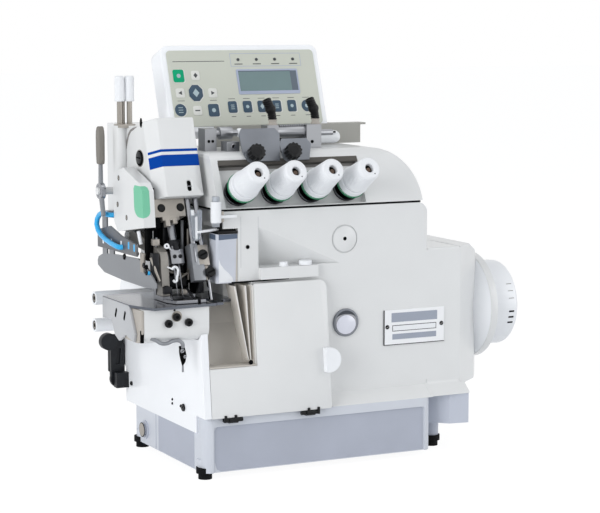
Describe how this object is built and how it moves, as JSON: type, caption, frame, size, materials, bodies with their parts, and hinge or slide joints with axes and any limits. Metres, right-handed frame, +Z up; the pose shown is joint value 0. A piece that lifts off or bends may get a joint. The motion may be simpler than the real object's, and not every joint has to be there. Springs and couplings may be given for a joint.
{
  "type": "cylinder-bed overlock sewing machine head",
  "caption": "Cylinder-bed overlock machine head with tension knobs, leaning keypad box, direct-drive motor and handwheel on an oil pan.",
  "frame": {"origin": "middle of the oil pan's underside, at the centre of its four fixing holes", "axes": "+X along the main shaft towards the handwheel, -Y towards the operator, +Z up"},
  "size_m": [0.431, 0.2454, 0.3992],
  "materials": {
    "enamel": "smooth off-white enamel",
    "enamel_white": "smooth white enamel",
    "pan_grey": "satin blue-grey paint",
    "rubber_black": "matt",
    "steel": "fine ground",
    "steel_dark": "dark oxide",
    "chrome": "polished",
    "aluminium": "satin anodised",
    "beige_plastic": "moulded",
    "white_plastic": "moulded",
    "black_plastic": "moulded",
    "film": "printed film",
    "clear_plastic": "frosted",
    "spring_green": "lacquered spring wire",
    "hose_blue": "flexible tube",
    "copper": "lacquered winding",
    "gauge_glass": "polished",
    "sheet_beige": "satin paint"
  },
  "bodies": {
    "frame": {"base_pan": "pan_grey", "foot_cushions": "rubber_black", "pan_bracket": "pan_grey", "drain_plug": "black_plastic", "machine_frame": "enamel", "arm_casting": "enamel", "motor_step": "enamel", "end_cover": "enamel_white", "bed_cap": "beige_plastic", "cloth_plate": "chrome", "waste_chute": "beige_plastic", "hinge_pins": "steel_dark", "motor_housing": "enamel", "motor_stator": "copper", "shaft_bearings": "steel", "top_cover": "enamel", "cover_gasket": "rubber_black", "tension_posts": "chrome", "tension_springs": "spring_green", "guide_plates": "chrome", "thread_rail": "aluminium", "air_elbows": "black_plastic", "panel_bracket": "sheet_beige", "control_box": "white_plastic", "keypad_film": "film", "head_cover": "enamel_white", "side_box": "enamel_white", "frame_screws": "steel_dark", "bar_guide": "steel", "thread_tank": "clear_plastic", "tank_cap": "black_plastic", "cooling_hose": "hose_blue", "finger_guard": "steel", "guide_tubes": "white_plastic", "oil_gauge": "gauge_glass", "name_plate": "aluminium"},
    "drive": {"handwheel": "white_plastic", "main_shaft": "steel", "motor_rotor": "steel_dark"},
    "needle_drive": {"needle_bar": "steel"},
    "knife": {"upper_knife": "steel"},
    "lower_looper": {"lower_looper": "steel"},
    "upper_looper": {"upper_looper": "steel"},
    "feed": {"feed_dogs": "steel"},
    "presser": {"presser_arm": "steel", "presser_foot": "steel"},
    "lever": {"lift_lever": "steel"},
    "pedal": {"pedal_link": "black_plastic"},
    "cover": {"front_cover": "enamel", "cover_grip": "white_plastic"},
    "tension_1": {"tension_knob_1": "white_plastic"},
    "tension_2": {"tension_knob_2": "white_plastic"},
    "tension_3": {"tension_knob_3": "white_plastic"},
    "tension_4": {"tension_knob_4": "white_plastic"},
    "clamp_1": {"clamp_knob_1": "black_plastic"},
    "clamp_2": {"clamp_knob_2": "black_plastic"},
    "button": {"stitch_button": "white_plastic"},
    "dial": {"seam_dial": "white_plastic"},
    "pressure_1": {"pressure_screw_1": "white_plastic"},
    "pressure_2": {"pressure_screw_2": "white_plastic"}
  },
  "joints": [
    {"name": "handwheel_spin", "type": "hinge", "parent": "frame", "child": "drive", "pos_m": [0, -0.009, 0.1285], "axis": [1, 0, 0], "continuous": true},
    {"name": "needle_bar_slide", "type": "slide", "parent": "frame", "child": "needle_drive", "axis": [0, 0.3256, 0.9455], "range_m": [-0.012, 0.012]},
    {"name": "upper_knife_slide", "type": "slide", "parent": "frame", "child": "knife", "axis": [0, 0.3256, 0.9455], "range_m": [-0.004, 0.004]},
    {"name": "lower_looper_swing", "type": "hinge", "parent": "frame", "child": "lower_looper", "pos_m": [-0.16, -0.05, 0.14], "axis": [0, 1, 0], "range_deg": [-10, 10]},
    {"name": "upper_looper_swing", "type": "hinge", "parent": "frame", "child": "upper_looper", "pos_m": [-0.136, -0.05, 0.14], "axis": [0, 1, 0], "range_deg": [-10, 10]},
    {"name": "feed_slide", "type": "slide", "parent": "frame", "child": "feed", "axis": [0, 1, 0], "range_m": [-0.002, 0.002]},
    {"name": "presser_lift", "type": "hinge", "parent": "frame", "child": "presser", "pos_m": [-0.1475, 0.022, 0.213], "axis": [-1, 0, 0], "range_deg": [0, 6]},
    {"name": "lever_turn", "type": "hinge", "parent": "frame", "child": "lever", "pos_m": [-0.175, 0.031, 0.256], "axis": [-1, 0, 0], "range_deg": [0, 24]},
    {"name": "pedal_link_turn", "type": "hinge", "parent": "frame", "child": "pedal", "pos_m": [-0.13, 0.1057, 0.0586], "axis": [0, -1, 0], "range_deg": [0, 9]},
    {"name": "front_cover_hinge", "type": "hinge", "parent": "frame", "child": "cover", "pos_m": [-0.054, -0.093, 0.0498], "axis": [1, 0, 0], "range_deg": [0, 90]},
    {"name": "tension_knob_1_turn", "type": "hinge", "parent": "frame", "child": "tension_1", "pos_m": [-0.076, -0.06225, 0.25714], "axis": [0, -0.9063, 0.4226], "continuous": true},
    {"name": "tension_knob_2_turn", "type": "hinge", "parent": "frame", "child": "tension_2", "pos_m": [-0.038, -0.06225, 0.25714], "axis": [0, -0.9063, 0.4226], "continuous": true},
    {"name": "tension_knob_3_turn", "type": "hinge", "parent": "frame", "child": "tension_3", "pos_m": [0, -0.06225, 0.25714], "axis": [0, -0.9063, 0.4226], "continuous": true},
    {"name": "tension_knob_4_turn", "type": "hinge", "parent": "frame", "child": "tension_4", "pos_m": [0.038, -0.06225, 0.25714], "axis": [0, -0.9063, 0.4226], "continuous": true},
    {"name": "clamp_knob_1_turn", "type": "hinge", "parent": "frame", "child": "clamp_1", "pos_m": [-0.057, -0.05308, 0.28864], "axis": [0, -0.9063, 0.4226], "continuous": true},
    {"name": "clamp_knob_2_turn", "type": "hinge", "parent": "frame", "child": "clamp_2", "pos_m": [-0.019, -0.05308, 0.28864], "axis": [0, -0.9063, 0.4226], "continuous": true},
    {"name": "stitch_button_press", "type": "slide", "parent": "frame", "child": "button", "axis": [0, 0, -1], "range_m": [0, 0.002], "stiffness_N_per_m": 300},
    {"name": "seam_dial_turn", "type": "hinge", "parent": "frame", "child": "dial", "pos_m": [-0.01, -0.0743, 0.188], "axis": [0, 0, 1], "range_deg": [-150, 150]},
    {"name": "pressure_screw_1_turn", "type": "hinge", "parent": "frame", "child": "pressure_1", "pos_m": [-0.155, 0.031, 0.318], "axis": [0, 0, 1], "continuous": true},
    {"name": "pressure_screw_2_turn", "type": "hinge", "parent": "frame", "child": "pressure_2", "pos_m": [-0.145, 0.031, 0.318], "axis": [0, 0, 1], "continuous": true}
  ],
  "couplings": [
    {"joint": "upper_knife_slide", "follows": "needle_bar_slide", "ratio": 0.33333},
    {"joint": "lower_looper_swing", "follows": "needle_bar_slide", "rad_per_m": 14.5},
    {"joint": "upper_looper_swing", "follows": "needle_bar_slide", "rad_per_m": -14.5},
    {"joint": "lever_turn", "follows": "presser_lift", "ratio": 4},
    {"joint": "pedal_link_turn", "follows": "presser_lift", "ratio": 1.5}
  ]
}
